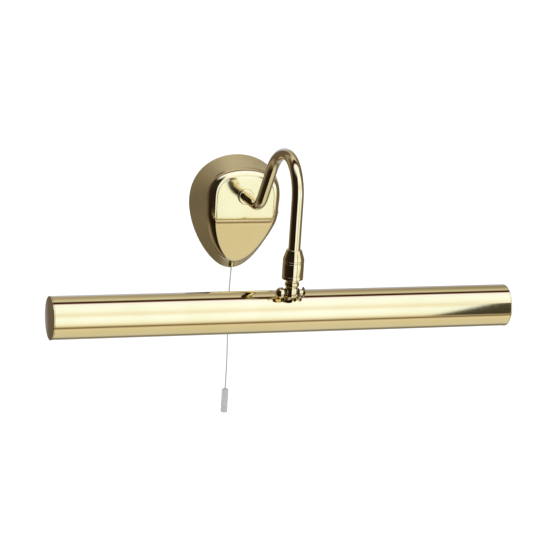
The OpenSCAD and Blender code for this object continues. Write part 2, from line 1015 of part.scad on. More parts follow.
module holder_bracket() {
    half_y = 7;
    plate_half_y = 9;
    inner = bracket_half - bracket_t;
    color(STEEL)
        at_shade()
            difference() {
                union() {
                    intersection() {
                        block([-bracket_half, -half_y, bracket_z], [bracket_half, half_y, shade_r]);
                        translate([-bracket_half, 0, 0])
                            along_x()
                                cylinder(h = 2 * bracket_half, r = shade_bore_r);
                    }
                    for (side = [-1, 1])
                        on_side(side) {
                            block([inner, -half_y, lamp_z], [bracket_half, half_y, bracket_z]);
                            translate([inner, 0, lamp_z])
                                along_x()
                                    cylinder(h = bracket_t, r = plate_half_y);
                        }
                }
                cylinder(h = shade_d, r = flex_bore_r);
                for (side = [-1, 1])
                    translate([side * saddle_screw_x, 0, bracket_z - 1])
                        cylinder(h = shade_d, r = saddle_screw_r);
                translate([-bracket_half - 1, 0, lamp_z])
                    along_x()
                        cylinder(h = 2 * bracket_half + 2, r = boss_r);
            }
}

// Puts a shape turned about z in place about one lamp's axis
module at_lamp(side) {
    at_shade()
        on_side(side)
            translate([0, 0, lamp_z])
                along_x()
                    children();
}

module lampholder(side) {
    boss_start = 9.4;
    floor_x = 20;
    lead_bore_r = 3;
    color(MOULDING)
        at_lamp(side)
            rotate_extrude()
                polygon([
                    [lead_bore_r, boss_start], [boss_r, boss_start], [boss_r, holder_start],
                    [holder_r, holder_start], [holder_r, holder_end - 6], [10.5, holder_end],
                    [holder_bore_r, holder_end], [holder_bore_r, floor_x], [lead_bore_r, floor_x]
                ]);
}

module holder_nuts() {
    nut_h = 2.2;
    color(STEEL)
        for (side = [-1, 1])
            at_lamp(side)
                translate([0, 0, bracket_half - bracket_t - nut_h])
                    difference() {
                        cylinder(h = nut_h, r = 7.5, $fn = 6);
                        translate([0, 0, -1])
                            cylinder(h = nut_h + 2, r = boss_r);
                    }
}

// A centre contact and a side contact in each holder
module holder_contacts() {
    color(BRASS)
        for (side = [-1, 1])
            at_lamp(side) {
                translate([0, 0, 20])
                    cylinder(h = 0.8, r = 6.5);
                translate([0, 0, 20.8])
                    cylinder(h = 3.2, r = 1.4);
                translate([0, 0, 30])
                    difference() {
                        cylinder(h = 5, r = holder_bore_r);
                        translate([0, 0, -1])
                            cylinder(h = 7, r = lamp_cap_r);
                    }
            }
}

module lamp_cap(side) {
    color(STEEL)
        at_lamp(side)
            rotate_extrude()
                polygon([
                    [0, 24], [2.2, 24], [3.6, 25.6], [lamp_cap_r - 0.6, 27.4], [lamp_cap_r, 28.4],
                    [lamp_cap_r, lamp_start], [0, lamp_start]
                ]);
}

module lamp_glass(side) {
    skin = 0.8;
    neck_r = lamp_cap_r - 0.4;
    shoulder = lamp_start + 6;
    dome_start = lamp_start + lamp_len - lamp_glass_r;
    color("ivory")
        at_lamp(side)
            rotate_extrude()
                difference() {
                    union() {
                        polygon([
                            [0, lamp_start], [neck_r, lamp_start], [lamp_glass_r, shoulder],
                            [lamp_glass_r, dome_start], [0, dome_start]
                        ]);
                        intersection() {
                            translate([0, dome_start])
                                circle(r = lamp_glass_r);
                            translate([0, dome_start])
                                square([lamp_glass_r, lamp_glass_r]);
                        }
                    }
                    polygon([
                        [0, lamp_start - 1], [neck_r - skin, lamp_start - 1],
                        [neck_r - skin, lamp_start], [lamp_glass_r - skin, shoulder + 0.5],
                        [lamp_glass_r - skin, dome_start], [0, dome_start]
                    ]);
                    intersection() {
                        translate([0, dome_start - 0.01])
                            circle(r = lamp_glass_r - skin);
                        translate([0, dome_start - 0.01])
                            square([lamp_glass_r, lamp_glass_r]);
                    }
                }
}

module shade_flex() {
    gap = 2;
    end_z = 9.5;
    color(MOULDING)
        at_shade()
            translate([0, 0, end_z])
                cylinder(h = pin_to_shade - gap - end_z, r = flex_r);
}

module shade_leads() {
    color(INSULATION)
        at_shade()
            for (side = [-1, 1])
                for (core = [-1, 1])
                    lead([
                        [side * 0.9, core * 0.9, 9.5], [side * 3, core * 1.2, 5],
                        [side * 8, core * 1.2, lamp_z], [side * 19.8, core * 1.2, lamp_z]
                    ], 0.7, [0, 1, 0]);
}

wall_bracket();
cover_catch();
wall_cover();
cover_screw();
arm_tube();
arm_collar();
arm_washer();
arm_nut();
terminal_block();
terminal_sleeves();
terminal_screws();
earth_screw();
switch_body();
switch_screws();
cord_bush();
live_lead();
neutral_lead();
switch_leads();
earth_lead();
arm_flex();
swivel_cap();
swivel_socket();
switch_slider();
pull_cord();
cord_pull();
swivel_stem();
swivel_washer();
spring_washer();
swivel_nut();
neck_flex();
saddle();
tilt_screw(-1);  // tilt_screw_left
tilt_screw(1);  // tilt_screw_right
friction_washers();
shade_tube();
end_cap(-1);  // end_cap_left
end_cap(1);  // end_cap_right
saddle_screws();
holder_bracket();
lampholder(-1);  // lampholder_left
lampholder(1);  // lampholder_right
holder_nuts();
holder_contacts();
lamp_cap(-1);  // lamp_cap_left
lamp_cap(1);  // lamp_cap_right
lamp_glass(-1);  // lamp_glass_left
lamp_glass(1);  // lamp_glass_right
shade_flex();
shade_leads();
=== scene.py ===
import bmesh
import bpy
import json
import math
from mathutils import Matrix, Vector


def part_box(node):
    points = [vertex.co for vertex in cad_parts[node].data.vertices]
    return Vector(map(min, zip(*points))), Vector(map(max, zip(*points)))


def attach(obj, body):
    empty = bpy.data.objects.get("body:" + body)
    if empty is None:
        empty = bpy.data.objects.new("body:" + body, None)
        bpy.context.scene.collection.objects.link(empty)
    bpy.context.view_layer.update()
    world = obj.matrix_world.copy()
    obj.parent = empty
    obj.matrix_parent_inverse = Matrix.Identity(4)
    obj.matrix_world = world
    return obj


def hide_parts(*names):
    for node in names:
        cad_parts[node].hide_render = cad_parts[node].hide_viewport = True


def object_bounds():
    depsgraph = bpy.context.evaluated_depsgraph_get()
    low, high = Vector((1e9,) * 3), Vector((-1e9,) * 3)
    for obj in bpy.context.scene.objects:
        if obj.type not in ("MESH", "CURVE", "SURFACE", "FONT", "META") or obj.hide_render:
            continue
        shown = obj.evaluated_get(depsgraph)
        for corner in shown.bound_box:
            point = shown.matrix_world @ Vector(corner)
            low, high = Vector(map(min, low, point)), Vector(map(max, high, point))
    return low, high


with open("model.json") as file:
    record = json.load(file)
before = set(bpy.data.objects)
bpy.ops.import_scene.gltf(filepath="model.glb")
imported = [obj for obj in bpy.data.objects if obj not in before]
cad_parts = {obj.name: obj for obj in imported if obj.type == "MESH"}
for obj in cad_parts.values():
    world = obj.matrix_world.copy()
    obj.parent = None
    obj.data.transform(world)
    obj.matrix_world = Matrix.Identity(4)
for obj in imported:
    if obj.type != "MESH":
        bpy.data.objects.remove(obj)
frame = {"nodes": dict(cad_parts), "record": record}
nodes = frame["nodes"]
cad_low, cad_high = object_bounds()

MM = 0.001
JOINTS = {joint["name"]: joint for joint in frame["record"]["behaviour"]["joints"]}


# ---- Camera, at the photograph's viewing angle ----

CAMERA_LEFT = math.radians(19.12)
CAMERA_UP = math.radians(14.8)
CAMERA_ROLL = math.radians(3.7)
CAMERA_DISTANCE = 1.7
CAMERA_LENS = 132.8
CAMERA_TARGET = Vector((-0.0083, -0.1549, -0.0208))


def make_camera():
    back = Vector((
        -math.sin(CAMERA_LEFT) * math.cos(CAMERA_UP),
        -math.cos(CAMERA_LEFT) * math.cos(CAMERA_UP),
        math.sin(CAMERA_UP),
    ))
    level = Vector((math.cos(CAMERA_LEFT), -math.sin(CAMERA_LEFT), 0))
    upright = back.cross(level)
    right = math.cos(CAMERA_ROLL) * level + math.sin(CAMERA_ROLL) * upright
    up = math.cos(CAMERA_ROLL) * upright - math.sin(CAMERA_ROLL) * level
    turn = Matrix((right, up, back)).transposed()
    data = bpy.data.cameras.new("camera")
    data.sensor_width = 36
    data.lens = CAMERA_LENS
    data.clip_start = 0.05
    data.clip_end = 50
    camera = bpy.data.objects.new("camera", data)
    bpy.context.scene.collection.objects.link(camera)
    place = CAMERA_TARGET + back * CAMERA_DISTANCE
    camera.matrix_world = Matrix.Translation(place) @ turn.to_4x4()
    bpy.context.scene.camera = camera


make_camera()


# ---- Node helpers ----

def add_node(tree, kind, **values):
    node = tree.nodes.new(kind)
    for name, value in values.items():
        setattr(node, name, value)
    return node


def plug(tree, value, socket):
    """Links an output socket to an input, or sets the input's own value."""
    if isinstance(value, bpy.types.NodeSocket):
        tree.links.new(value, socket)
    else:
        socket.default_value = value


def maths(tree, operation, *values):
    node = add_node(tree, "ShaderNodeMath", operation=operation)
    for value, socket in zip(values, node.inputs):
        plug(tree, value, socket)
    return node.outputs[0]


def fade(tree, value, low, high):
    """0 at low, 1 at high, smooth between, and clamped beyond them."""
    node = add_node(tree, "ShaderNodeMapRange", interpolation_type="SMOOTHSTEP")
    plug(tree, value, node.inputs["Value"])
    node.inputs["From Min"].default_value = low
    node.inputs["From Max"].default_value = high
    return node.outputs["Result"]


def mix_colour(tree, amount, first, second):
    node = add_node(tree, "ShaderNodeMix", data_type="RGBA")
    plug(tree, amount, node.inputs[0])
    plug(tree, first, node.inputs[6])
    plug(tree, second, node.inputs[7])
    return node.outputs[2]


def ramp(tree, value, stops):
    """A colour ramp over stops of (position, colour)."""
    node = add_node(tree, "ShaderNodeValToRGB")
    elements = node.color_ramp.elements
    while len(elements) < len(stops):
        elements.new(0.5)
    for element, (place, colour) in zip(elements, stops):
        element.position = place
        element.color = (*colour, 1)
    plug(tree, value, node.inputs[0])
    return node.outputs[0]


# ---- Studio: pale floor, even light, and what the polished metal reflects ----

# What the metal mirrors round the X axis: degrees from straight ahead, up positive, and a colour
STUDIO_BANDS = [
    (-180, (0.62, 0.64, 0.80)), (-140, (0.60, 0.62, 0.72)), (-129, (0.42, 0.41, 0.42)),
    (-121, (0.19, 0.18, 0.15)), (-115, (0.24, 0.22, 0.19)), (-107, (0.55, 0.54, 0.50)),
    (-99, (0.70, 0.69, 0.62)), (-60, (0.76, 0.72, 0.57)), (-51, (0.84, 0.77, 0.68)),
    (-46, (0.62, 0.55, 0.42)), (-42, (0.22, 0.17, 0.09)), (-38, (0.28, 0.22, 0.13)),
    (-33, (0.66, 0.60, 0.52)), (-27, (0.95, 0.95, 0.93)), (-15, (1.08, 1.22, 1.34)),
    (3, (1.12, 1.30, 1.64)), (15, (1.10, 1.24, 1.46)), (24, (1.02, 1.05, 1.12)),
    (33, (1.04, 1.09, 1.16)), (45, (1.10, 1.24, 1.48)), (63, (1.12, 1.30, 1.60)),
    (84, (1.10, 1.22, 1.66)), (89, (0.90, 0.80, 1.00)), (92, (0.08, 0.02, 0.01)),
    (102, (0.04, 0.01, 0.00)), (105, (0.30, 0.28, 0.22)), (109, (0.74, 0.74, 0.68)),
    (129, (0.53, 0.48, 0.39)), (147, (0.42, 0.39, 0.35)), (165, (0.61, 0.64, 0.83)),
]
# A ramp holds colours up to 1, so the bands are divided by this and scaled up again
BAND_SCALE = 1.7
TURN = 360
GAP_COLOUR = (0.06, 0.055, 0.04, 1)
GAP_SLANT = -0.00047
RIGHT_COLOUR = (0.17, 0.14, 0.09, 1)
# The dark studio on the left, browner towards the wall: part of a turn, and a colour
LEFT_COLOURS = [
    (0.0, (0.16, 0.13, 0.10)), (0.07, (0.13, 0.10, 0.075)), (0.10, (0.36, 0.31, 0.22)),
    (0.14, (0.14, 0.11, 0.08)), (0.20, (0.03, 0.02, 0.014)), (0.30, (0.018, 0.011, 0.008)),
    (0.5, (0.014, 0.008, 0.005)),
]
SOFT_WHITE = (0.92, 0.92, 0.92, 1)
WHITE = (1, 1, 1, 1)


def studio_reflection(tree):
    """What the metal mirrors: softboxes ahead, a dark studio to the left, a tan table below."""
    direction = add_node(tree, "ShaderNodeTexCoord").outputs["Generated"]
    split = add_node(tree, "ShaderNodeSeparateXYZ")
    tree.links.new(direction, split.inputs[0])
    x, y, z = split.outputs
    ahead = maths(tree, "MULTIPLY", y, -1.0)
    pitch = maths(tree, "DEGREES", maths(tree, "ARCTAN2", z, ahead))
    turn = maths(tree, "DEGREES", maths(tree, "ARCTAN2", x, ahead))
    stops = [
        (degrees / TURN + 0.5, [level / BAND_SCALE for level in colour])
        for degrees, colour in STUDIO_BANDS
    ]
    bands = ramp(tree, maths(tree, "MULTIPLY_ADD", pitch, 1 / TURN, 0.5), stops)
    scaled = add_node(tree, "ShaderNodeVectorMath", operation="SCALE")
    tree.links.new(bands, scaled.inputs[0])
    scaled.inputs["Scale"].default_value = BAND_SCALE
    # dark gap at the right of the front softbox
    slant = maths(tree, "MULTIPLY_ADD", pitch, GAP_SLANT, x)
    gap = maths(
        tree, "MULTIPLY",
        maths(tree, "MULTIPLY", fade(tree, slant, 0.398, 0.406), fade(tree, x, 0.50, 0.46)),
        maths(tree, "MULTIPLY", fade(tree, pitch, -36, -30), fade(tree, pitch, 28, 26)),
    )
    with_gap = mix_colour(tree, gap, scaled.outputs[0], GAP_COLOUR)
    # dark right-hand side
    level = fade(tree, maths(tree, "ABSOLUTE", z), 0.9, 0.6)
    right_side = maths(
        tree, "MULTIPLY", level,
        maths(tree, "MULTIPLY", fade(tree, turn, 64, 72), fade(tree, turn, 175, 120)),
    )
    with_right = mix_colour(tree, right_side, with_gap, RIGHT_COLOUR)
    # dark left-hand side
    left_colour = ramp(tree, maths(tree, "MULTIPLY_ADD", turn, 1 / TURN, 0.5), LEFT_COLOURS)
    left_side = maths(
        tree, "MULTIPLY",
        maths(tree, "MULTIPLY", fade(tree, turn, -9, -12), fade(tree, turn, -180, -168)),
        fade(tree, z, 0.97, 0.7),
    )
    return mix_colour(tree, left_side, with_right, left_colour)


def make_world():
    world = bpy.data.worlds.new("studio")
    world.use_nodes = True
    tree = world.node_tree
    tree.nodes.clear()
    rays = add_node(tree, "ShaderNodeLightPath")
    mirrored = mix_colour(
        tree, rays.outputs["Is Glossy Ray"], SOFT_WHITE, studio_reflection(tree)
    )
    colour = mix_colour(tree, rays.outputs["Is Camera Ray"], mirrored, WHITE)
    background = add_node(tree, "ShaderNodeBackground")
    tree.links.new(colour, background.inputs["Color"])
    output = add_node(tree, "ShaderNodeOutputWorld")
    tree.links.new(background.outputs[0], output.inputs["Surface"])
    bpy.context.scene.world = world


def make_plane(name, corners, colour, glow):
    mesh = bpy.data.meshes.new(name)
    mesh.from_pydata(corners, [], [(0, 1, 2, 3)])
    plane = bpy.data.objects.new(name, mesh)
    bpy.context.scene.collection.objects.link(plane)
    material = bpy.data.materials.new(name)
    material.use_nodes = True
    shader = material.node_tree.nodes["Principled BSDF"]
    shader.inputs["Base Color"].default_value = (*colour, 1)
    shader.inputs["Roughness"].default_value = 0.9
    shader.inputs["Specular IOR Level"].default_value = 0
    shader.inputs["Emission Color"].default_value = WHITE
    shader.inputs["Emission Strength"].default_value = glow
    mesh.materials.append(material)
    return plane


FLOOR_HALF = 6
FLOOR_DROP = 0.45


def make_studio():
    make_world()
    floor_z = cad_low.z - FLOOR_DROP
    corners = [
        (x * FLOOR_HALF, y * FLOOR_HALF, floor_z) for x, y in ((-1, -1), (1, -1), (1, 1), (-1, 1))
    ]
    floor = make_plane("floor", corners, (0.85, 0.85, 0.84), 0.35)
    floor.visible_glossy = False
    bpy.context.scene.view_settings.view_transform = "Standard"


make_studio()


# ---- Materials ----

def new_material(name):
    material = bpy.data.materials.new(name)
    material.use_nodes = True
    tree = material.node_tree
    return material, tree, tree.nodes["Principled BSDF"]


def grain(tree, scale, detail=3.0, stretch=(1, 1, 1)):
    """Noise in the object's own space, stretched along its axes."""
    place = add_node(tree, "ShaderNodeTexCoord")
    mapping = add_node(tree, "ShaderNodeMapping")
    mapping.inputs["Scale"].default_value = stretch
    tree.links.new(place.outputs["Object"], mapping.inputs["Vector"])
    noise = add_node(tree, "ShaderNodeTexNoise")
    noise.inputs["Scale"].default_value = scale
    noise.inputs["Detail"].default_value = detail
    tree.links.new(mapping.outputs[0], noise.inputs["Vector"])
    return noise.outputs["Fac"]


def span(tree, value, low, high):
    """Spreads noise, which stays near its middle, over the range from low to high."""
    node = add_node(tree, "ShaderNodeMapRange")
    plug(tree, value, node.inputs["Value"])
    node.inputs["From Min"].default_value = 0.3
    node.inputs["From Max"].default_value = 0.7
    node.inputs["To Min"].default_value = low
    node.inputs["To Max"].default_value = high
    return node.outputs["Result"]


def bump(tree, shader, height, distance, strength=1.0):
    node = add_node(tree, "ShaderNodeBump")
    node.inputs["Strength"].default_value = strength
    node.inputs["Distance"].default_value = distance
    tree.links.new(height, node.inputs["Height"])
    tree.links.new(node.outputs[0], shader.inputs["Normal"])


def polished_brass(name, colour=(0.91, 0.78, 0.48), rough=(0.025, 0.06), stretch=(1, 1, 1)):
    """Mirror-polished brass under clear lacquer, with faint polishing marks and tone changes."""
    material, tree, shader = new_material(name)
    shader.inputs["Metallic"].default_value = 1
    deep = tuple(part * 0.95 for part in colour[:2]) + (colour[2] * 0.88,)
    tone = mix_colour(tree, span(tree, grain(tree, 25, 2), 0, 1), (*colour, 1), (*deep, 1))
    tree.links.new(tone, shader.inputs["Base Color"])
    marks = grain(tree, 900, 4, stretch)
    tree.links.new(span(tree, marks, *rough), shader.inputs["Roughness"])
    shader.inputs["Coat Weight"].default_value = 0.25
    shader.inputs["Coat Roughness"].default_value = 0.03
    bump(tree, shader, grain(tree, 60, 1, stretch), 0.00002, 0.12)
    return material


def cover_brass(name):
    """Brass of the wall cover: softly polished face and edge, sides with a brushed satin grain."""
    material = polished_brass(name)
    tree = material.node_tree
    shader = tree.nodes["Principled BSDF"]
    satin = add_node(tree, "ShaderNodeAttribute", attribute_name="satin").outputs["Fac"]
    brushed = span(tree, grain(tree, 700, 3, (0.15, 0.15, 1)), 0.42, 0.54)
    polished = span(tree, grain(tree, 500, 2), 0.10, 0.13)
    blend = maths(tree, "MULTIPLY_ADD", satin, maths(tree, "SUBTRACT", brushed, polished), polished)
    tree.links.new(blend, shader.inputs["Roughness"])
    shader.inputs["Coat Weight"].default_value = 0
    return material


def plain_metal(name, colour, rough, scale=700):
    """Bright plated or turned metal with a fine satin grain."""
    material, tree, shader = new_material(name)
    shader.inputs["Metallic"].default_value = 1
    deep = tuple(part * 0.82 for part in colour)
    tone = mix_colour(tree, span(tree, grain(tree, 120, 3), 0, 1), (*colour, 1), (*deep, 1))
    tree.links.new(tone, shader.inputs["Base Color"])
    tree.links.new(span(tree, grain(tree, scale), rough * 0.8, rough * 1.3), shader.inputs["Roughness"])
    bump(tree, shader, grain(tree, scale * 2), 0.00003, 0.3)
    return material


def moulding(name, colour, rough=0.4, subsurface=0.0):
    """Moulded plastic with a fine texture and slight mottling."""
    material, tree, shader = new_material(name)
    deep = tuple(part * 0.9 for part in colour)
    tone = mix_colour(tree, span(tree, grain(tree, 150, 3), 0, 1), (*colour, 1), (*deep, 1))
    tree.links.new(tone, shader.inputs["Base Color"])
    tree.links.new(span(tree, grain(tree, 900), rough * 0.85, rough * 1.2), shader.inputs["Roughness"])
    if subsurface:
        shader.inputs["Subsurface Weight"].default_value = subsurface
        shader.inputs["Subsurface Scale"].default_value = 0.002
    bump(tree, shader, grain(tree, 2500, 2), 0.00002, 0.25)
    return material


def braid(name, colour):
    """Fine braided cord: crossing diagonal strands, with painted shade darkening the gaps between them.
    """
    material, tree, shader = new_material(name)
    place = add_node(tree, "ShaderNodeTexCoord")
    heights = []
    for lean in (-1, 1):
        mapping = add_node(tree, "ShaderNodeMapping")
        mapping.inputs["Rotation"].default_value = (0, lean * math.radians(45), 0)
        tree.links.new(place.outputs["Object"], mapping.inputs["Vector"])
        wave = add_node(tree, "ShaderNodeTexWave", bands_direction="X")
        wave.inputs["Scale"].default_value = 900
        tree.links.new(mapping.outputs[0], wave.inputs["Vector"])
        heights.append(wave.outputs["Fac"])
    weave = maths(tree, "MAXIMUM", *heights)
    # The darker colour in the weave's low gaps between strands is painted shade in the grooves
    dark = tuple(part * 0.55 for part in colour)
    tree.links.new(mix_colour(tree, weave, (*dark, 1), (*colour, 1)), shader.inputs["Base Color"])
    shader.inputs["Roughness"].default_value = 0.65
    bump(tree, shader, weave, 0.0001, 0.6)
    return material


def frosted_glass(name):
    material, tree, shader = new_material(name)
    tone = mix_colour(
        tree, span(tree, grain(tree, 80, 2), 0, 1), (0.95, 0.94, 0.90, 1), (0.90, 0.89, 0.84, 1)
    )
    tree.links.new(tone, shader.inputs["Base Color"])
    shader.inputs["Transmission Weight"].default_value = 0.35
    shader.inputs["Roughness"].default_value = 0.35
    shader.inputs["Subsurface Weight"].default_value = 0.3
    shader.inputs["Subsurface Scale"].default_value = 0.004
    bump(tree, shader, grain(tree, 1500, 3), 0.00003, 0.3)
    return material


MATERIALS = {
    "polished_brass": polished_brass("polished_brass"),
    "plated_steel": plain_metal("plated_steel", (0.72, 0.73, 0.74), 0.28),
    "plain_brass": plain_metal("plain_brass", (0.80, 0.62, 0.30), 0.25),
    "white_moulding": moulding("white_moulding", (0.86, 0.85, 0.80)),
    "brown_moulding": moulding("brown_moulding", (0.10, 0.055, 0.03)),
    "holder_moulding": moulding("holder_moulding", (0.84, 0.81, 0.72), 0.35),
    "friction_fibre": moulding("friction_fibre", (0.06, 0.055, 0.05), 0.7),
    "brown_insulation": moulding("brown_insulation", (0.13, 0.05, 0.02), 0.3),
    "blue_insulation": moulding("blue_insulation", (0.02, 0.10, 0.35), 0.3),
    "green_insulation": moulding("green_insulation", (0.10, 0.28, 0.03), 0.3),
    "flex_sheath": moulding("flex_sheath", (0.80, 0.79, 0.74), 0.35),
    "cord_braid": braid("cord_braid", (0.50, 0.51, 0.50)),
    "pull_moulding": moulding("pull_moulding", (0.55, 0.56, 0.56), 0.22, 0.15),
    "lamp_cap_metal": plain_metal("lamp_cap_metal", (0.80, 0.80, 0.80), 0.2),
    "frosted_glass": frosted_glass("frosted_glass"),
}
COVER_BRASS = cover_brass("polished_brass_cover")
SLOT_OF = {part["node"]: part["material_slot"] for part in frame["record"]["subparts"]}


def dress_cad_nodes():
    """Gives every carried-over CAD node its material and smooth shading with crisp edges."""
    for name, shape in nodes.items():
        shape.data.materials.clear()
        shape.data.materials.append(MATERIALS[SLOT_OF[name]])
        shape.data.shade_smooth()
        shape.data.set_sharp_from_angle(angle=math.radians(28))


dress_cad_nodes()


# ---- Mesh helpers ----

def body_of_node(name):
    bodies = frame["record"]["behaviour"]["bodies"]
    return next(body for body, members in bodies.items() if name in members)


def mesh_of(name, points, faces):
    mesh = bpy.data.meshes.new(name)
    mesh.from_pydata([tuple(point) for point in points], [], faces)
    mesh.validate()
    mesh.update()
    return mesh


def add_piece(name, mesh, replaces, sharp=28):
    """Adds a smooth-shaded piece that stands for the CAD nodes and rides on their body."""
    mesh.shade_smooth()
    mesh.set_sharp_from_angle(angle=math.radians(sharp))
    slot = SLOT_OF[replaces[0]]
    mesh.materials.clear()
    mesh.materials.append(MATERIALS[slot])
    piece = bpy.data.objects.new(name, mesh)
    bpy.context.scene.collection.objects.link(piece)
    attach(piece, body_of_node(replaces[0]))
    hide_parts(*replaces)
    return piece


def build(name, points, faces, replaces, sharp=28):
    return add_piece(name, mesh_of(name, points, faces), replaces, sharp)


def hull_mesh(name, points):
    """The closed skin round a set of points."""
    skin = bmesh.new()
    for point in points:
        skin.verts.new(point)
    bmesh.ops.convex_hull(skin, input=skin.verts)
    bmesh.ops.dissolve_limit(
        skin, angle_limit=math.radians(0.5), verts=skin.verts, edges=skin.edges
    )
    bmesh.ops.recalc_face_normals(skin, faces=skin.faces)
    mesh = bpy.data.meshes.new(name)
    skin.to_mesh(mesh)
    skin.free()
    return mesh


def carve(name, body, joins=(), cuts=()):
    """Joins meshes to a body, cuts others out of it, and returns the resulting mesh."""
    parts = []
    for mesh in (body, *joins, *cuts):
        part = bpy.data.objects.new(name + "_part", mesh)
        bpy.context.scene.collection.objects.link(part)
        parts.append(part)
    whole = parts[0]
    for i, part in enumerate(parts[1:]):
        step = whole.modifiers.new("carve", "BOOLEAN")
        step.solver = "EXACT"
        step.operation = "UNION" if i < len(joins) else "DIFFERENCE"
        step.object = part
    graph = bpy.context.evaluated_depsgraph_get()
    result = bpy.data.meshes.new_from_object(whole.evaluated_get(graph))
    result.name = name
    for part in parts:
        mesh = part.data
        bpy.data.objects.remove(part)
        bpy.data.meshes.remove(mesh)
    return result


def soften(piece, width, segments=3):
    """Rounds a piece's sharp edges."""
    bevel = piece.modifiers.new("soft_edges", "BEVEL")
    bevel.width = width
    bevel.segments = segments
    bevel.limit_method = "ANGLE"
    bevel.angle_limit = math.radians(32)
    bevel.harden_normals = True
    return piece


def rounded(profile, radius, steps=4):
    """Rounds every corner of a profile's points, except its first and last."""
    out = [Vector(profile[0])]
    for before, corner, after in zip(profile, profile[1:], profile[2:]):
        corner = Vector(corner)
        to_before = Vector(before) - corner
        to_after = Vector(after) - corner
        cut = min(radius, to_before.length / 2.2, to_after.length / 2.2)
        start = corner + to_before.normalized() * cut
        end = corner + to_after.normalized() * cut
        for step in range(steps + 1):
            t = step / steps
            out.append(start * (1 - t) ** 2 + corner * 2 * t * (1 - t) + end * t ** 2)
    out.append(Vector(profile[-1]))
    return out


def lathe(profile, place, segments=128, closed=False):
    """Points and faces of a profile of (radius, height) turned about place's Z axis."""
    points = []
    rows = []
    for radius, height in profile:
        if radius < 1e-7:
            rows.append([len(points)] * segments)
            points.append(place @ Vector((0, 0, height)))
            continue
        rows.append(list(range(len(points), len(points) + segments)))
        for s in range(segments):
            a = 2 * math.pi * s / segments
            points.append(place @ Vector((radius * math.cos(a), radius * math.sin(a), height)))
    faces = []
    pairs = list(zip(rows, rows[1:]))
    if closed:
        pairs.append((rows[-1], rows[0]))
    for low, high in pairs:
        for s in range(segments):
            n = (s + 1) % segments
            face = list(dict.fromkeys((low[s], low[n], high[n], high[s])))
            if len(face) > 2:
                faces.append(face)
    return points, faces


def sweep(line, radius, bore, segments=64):
    """A tube in the plane X = 0 along a line of (y, z) points, open through its bore."""
    side = Vector((1, 0, 0))
    rings = []
    points = []
    for i, place in enumerate(line):
        ahead = (line[min(i + 1, len(line) - 1)] - line[max(i - 1, 0)]).normalized()
        out = ahead.cross(side)
        for r in (radius, bore):
            rings.append(len(points))
            for s in range(segments):
                a = 2 * math.pi * s / segments
                points.append(place + r * (out * math.cos(a) + side * math.sin(a)))
    faces = []

    def wall(first, second, flip):
        for s in range(segments):
            n = (s + 1) % segments
            face = (first + s, first + n, second + n, second + s)
            faces.append(face[::-1] if flip else face)

    for i in range(len(line) - 1):
        wall(rings[2 * i], rings[2 * i + 2], True)
        wall(rings[2 * i + 1], rings[2 * i + 3], False)
    wall(rings[0], rings[1], False)
    wall(rings[-2], rings[-1], True)
    return points, faces


# ---- Places that the frame gives ----

LEG_Y = JOINTS["swivel"]["pos_m"][1]
LEG = Matrix.Translation((0, LEG_Y, 0))
PIN = Vector(JOINTS["tilt"]["pos_m"])


def middle(name):
    low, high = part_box(name)
    return (low + high) / 2


CAP_LOW, CAP_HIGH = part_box("end_cap_right")
SHADE_R = (CAP_HIGH.z - CAP_LOW.z) / 2
SHADE_HALF = CAP_HIGH.x
SHADE_AXIS = Vector((0, *middle("end_cap_right").yz))
TO_PIN = PIN - SHADE_AXIS
PIN_TO_SHADE = TO_PIN.length
REST_TILT = math.atan2(-TO_PIN.y, TO_PIN.z)
SHADE = Matrix.Translation(SHADE_AXIS) @ Matrix.Rotation(REST_TILT, 4, "X")
ALONG_X = Matrix.Rotation(math.pi / 2, 4, "Y")


# ---- Wall cover: an egg outline at the wall, drawn in to a face that bends back at the foot ----

BOX_DEPTH = -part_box("wall_cover")[0].y
BOX_WALL = 1.2 * MM
BOX_EDGE = 5 * MM
EDGE_GROWTH = 0.25
WALL_OUTLINE = (41.3, 10.5, -1.25, 52.25, 52.25, 1, 1)
FACE_OUTLINE = (31, 3, 3.5, 38.5, 49, 0.38, 1.2)
FACE_HEART = Vector((0, 5 * MM))
SIDE_STEPS = 8
FACE_SLOPE = math.tan(math.radians(25))
BEND_HIGH = 0.0
BEND_LOW = -8 * MM


def outline_point(outline, a, inset):
    width, swell, middle_z, up, down, top, bottom = outline
    s = math.sin(a)
    reach, power = (up, top) if s > 0 else (down, bottom)
    x = math.cos(a) * (width - inset / MM + swell * s)
    z = middle_z + math.copysign(abs(s) ** power, s) * (reach - inset / MM)
    return Vector((x, z)) * MM


def face_depth(z):
    """Distance of the face from the wall: upright at the top, then bent back to a slope."""
    bend = BEND_HIGH - BEND_LOW
    into = max(0.0, min(bend, BEND_HIGH - z))
    return BOX_DEPTH - FACE_SLOPE * (into * into / (2 * bend) + max(0.0, BEND_LOW - z))


def edge_point(a, turn, inset):
    radius = BOX_EDGE * (1 + EDGE_GROWTH * math.sin(a))
    back = radius * (1 - math.sin(turn))
    drawn = inset + radius * (1 - math.cos(turn))
    part = 1 - back / BOX_DEPTH
    flat = outline_point(WALL_OUTLINE, a, drawn).lerp(outline_point(FACE_OUTLINE, a, drawn), part)
    return Vector((flat.x, inset + back - face_depth(flat.y), flat.y))


